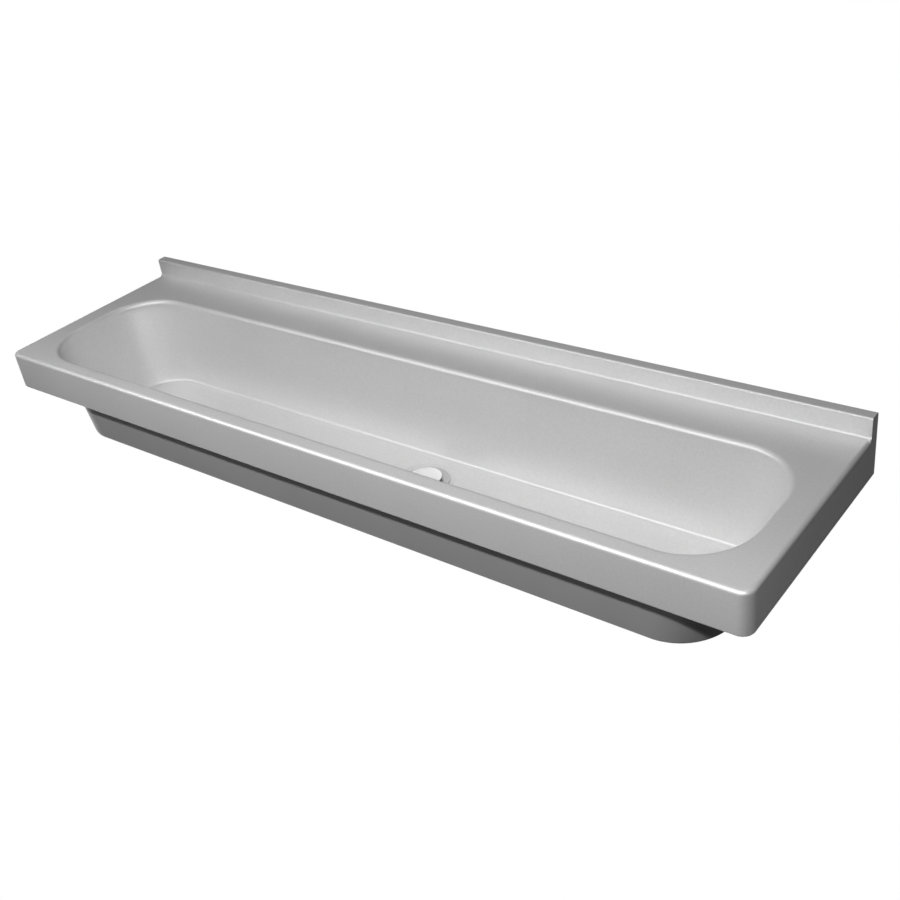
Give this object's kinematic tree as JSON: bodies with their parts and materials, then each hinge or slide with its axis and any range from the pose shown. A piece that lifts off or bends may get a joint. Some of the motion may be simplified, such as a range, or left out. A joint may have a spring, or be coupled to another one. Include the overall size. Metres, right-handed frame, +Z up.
{
  "type": "trough sink",
  "caption": "Wall-hung stainless wash trough with a long rounded basin, rear upstand, folded aprons, wall brackets and a push-to-close waste.",
  "frame": {"origin": "centre of the four wall-fixing holes, on the wall plane, 33 mm below the deck", "axes": "+X along the wall to the right seen from the front, +Y into the wall (the basin reaches out to -Y), +Z up"},
  "size_m": [1.5, 0.4, 0.264],
  "materials": {
    "satin_steel": "satin stainless sheet, fine even grain",
    "polished_chrome": "polished chrome plate",
    "zinc_steel": "zinc-plated steel, dull",
    "black_rubber": "matt black rubber",
    "bitumen_pad": "matt dark sound-deadening pad",
    "white_nylon": "natural nylon",
    "turned_brass": "turned brass",
    "spring_steel": "drawn stainless spring wire"
  },
  "bodies": {
    "trough": {"deck_shell": "satin_steel", "bowl": "satin_steel", "upstand_cap_left": "satin_steel", "upstand_cap_right": "satin_steel", "ledge_channel": "satin_steel", "bracket_left": "zinc_steel", "bracket_right": "zinc_steel", "deck_studs": "zinc_steel", "stud_washers": "zinc_steel", "stud_nuts": "zinc_steel", "sound_pads": "bitumen_pad", "earth_tag": "satin_steel", "earth_screw": "zinc_steel", "earth_washers": "zinc_steel", "earth_nut": "zinc_steel", "waste_body": "polished_chrome", "flange_seal": "black_rubber", "lower_gasket": "black_rubber", "slip_washer": "white_nylon", "back_nut": "polished_chrome", "push_cartridge": "turned_brass", "cartridge_spring": "spring_steel"},
    "plug": {"plug_stem": "turned_brass", "plug_seal": "black_rubber", "plug_cap": "polished_chrome"}
  },
  "joints": [
    {"name": "plug_press", "type": "slide", "parent": "trough", "child": "plug", "axis": [0, 0, 1], "range_m": [-0.005, 0], "stiffness_N_per_m": 600, "springref_m": 0.02, "deforming": ["cartridge_spring"]}
  ]
}
